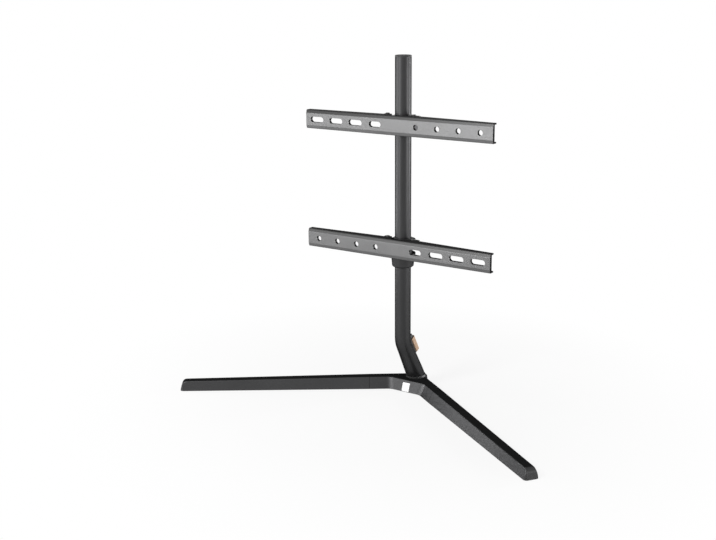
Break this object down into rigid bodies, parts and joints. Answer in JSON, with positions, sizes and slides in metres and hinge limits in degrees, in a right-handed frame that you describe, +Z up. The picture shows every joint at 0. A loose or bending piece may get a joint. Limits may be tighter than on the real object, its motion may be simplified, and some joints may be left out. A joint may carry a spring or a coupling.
{
  "type": "tabletop television stand",
  "caption": "Tabletop stand for a flat screen: spread legs on a low hub, a bent round pole, and slotted cross bars that slide and swivel on it.",
  "frame": {"origin": "on the floor, under the middle of the footprint", "axes": "+Z up; +X to the right for someone facing the screen side; the screen side looks along -Y"},
  "size_m": [0.8876, 0.3466, 0.7475],
  "materials": {
    "powder_coat": "fine textured powder coat",
    "bar_coat": "smooth satin powder coat",
    "dark_screw": "blackened steel",
    "black_plastic": "fine moulded grain",
    "slide_plastic": "smooth slide plastic",
    "tan_plastic": "satin moulded plastic",
    "white_plate": "satin white",
    "rubber_pad": "dull rubber",
    "plug_steel": "plain turned steel"
  },
  "bodies": {
    "base": {"base_hub": "powder_coat", "front_plate": "white_plate", "hub_foot_pad": "rubber_pad", "pole": "powder_coat", "pole_top_cap": "black_plastic", "pole_plug": "plug_steel", "pole_bolt": "dark_screw", "pole_trim_ring": "bar_coat", "clip_base": "black_plastic", "clip_strap": "tan_plastic", "clip_screw": "dark_screw", "right_leg": "powder_coat", "left_leg": "powder_coat", "right_foot_pad": "rubber_pad", "left_foot_pad": "rubber_pad", "right_leg_screw_near": "dark_screw", "right_leg_screw_far": "dark_screw", "left_leg_screw_near": "dark_screw", "left_leg_screw_far": "dark_screw"},
    "collar_slider": {"stop_collar": "powder_coat", "collar_grub_left": "dark_screw", "collar_grub_right": "dark_screw", "stop_pin": "plug_steel", "thrust_washer": "slide_plastic"},
    "lower_mount": {"lower_carrier": "powder_coat", "lower_liner": "slide_plastic", "lower_bar": "bar_coat", "lower_screw_top_left": "dark_screw", "lower_screw_top_right": "dark_screw", "lower_screw_bottom_left": "dark_screw", "lower_screw_bottom_right": "dark_screw"},
    "bush_slider": {"upper_bush": "slide_plastic"},
    "upper_mount": {"clamp_front": "powder_coat", "clamp_rear": "powder_coat", "clamp_screw_left": "dark_screw", "clamp_screw_right": "dark_screw", "upper_bar": "bar_coat", "upper_screw_top_left": "dark_screw", "upper_screw_top_right": "dark_screw", "upper_screw_bottom_left": "dark_screw", "upper_screw_bottom_right": "dark_screw"}
  },
  "joints": [
    {"name": "lower_height", "type": "slide", "parent": "base", "child": "collar_slider", "axis": [0, 0, 1], "range_m": [-0.135, 0.07]},
    {"name": "lower_swivel", "type": "hinge", "parent": "collar_slider", "child": "lower_mount", "pos_m": [0, 0.0852, 0.3387], "axis": [0, 0, 1], "range_deg": [-30, 30]},
    {"name": "upper_height", "type": "slide", "parent": "base", "child": "bush_slider", "axis": [0, 0, 1], "range_m": [-0.11, 0.11]},
    {"name": "upper_swivel", "type": "hinge", "parent": "bush_slider", "child": "upper_mount", "pos_m": [0, 0.0852, 0.604], "axis": [0, 0, 1], "range_deg": [-30, 30]}
  ]
}
